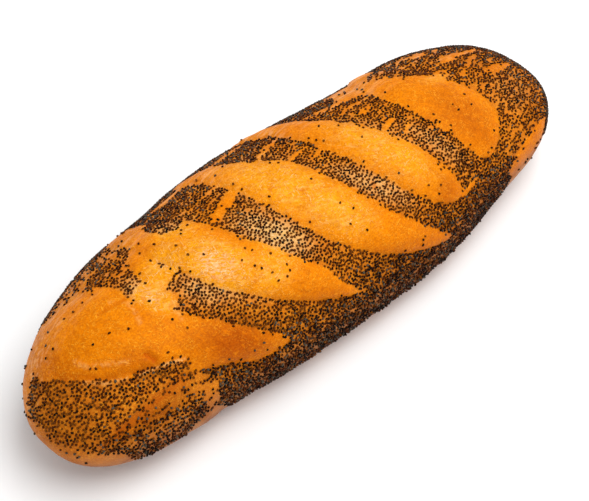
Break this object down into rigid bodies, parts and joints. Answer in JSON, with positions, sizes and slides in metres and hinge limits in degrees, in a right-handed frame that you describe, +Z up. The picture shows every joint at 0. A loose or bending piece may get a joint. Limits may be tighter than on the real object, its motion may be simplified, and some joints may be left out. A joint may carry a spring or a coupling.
{
  "type": "long poppy seed loaf",
  "caption": "Long oval white loaf with diagonal opened slashes, a glazed golden crust and poppy seeds on the skin between them.",
  "frame": {"origin": "on the surface the loaf rests on, under the middle of its bounding box", "axes": "+X along the loaf towards its lower, blunter end; -Y the front flank; +Z up out of the crown"},
  "size_m": [0.3004, 0.1044, 0.0682],
  "materials": {
    "crust": "egg-glazed golden orange baked crust, satin, browner towards the base",
    "poppy_seed": "slate and brown-black poppy seeds, dull with a faint waxy shine"
  },
  "bodies": {
    "root": {"loaf": "crust"}
  },
  "joints": []
}
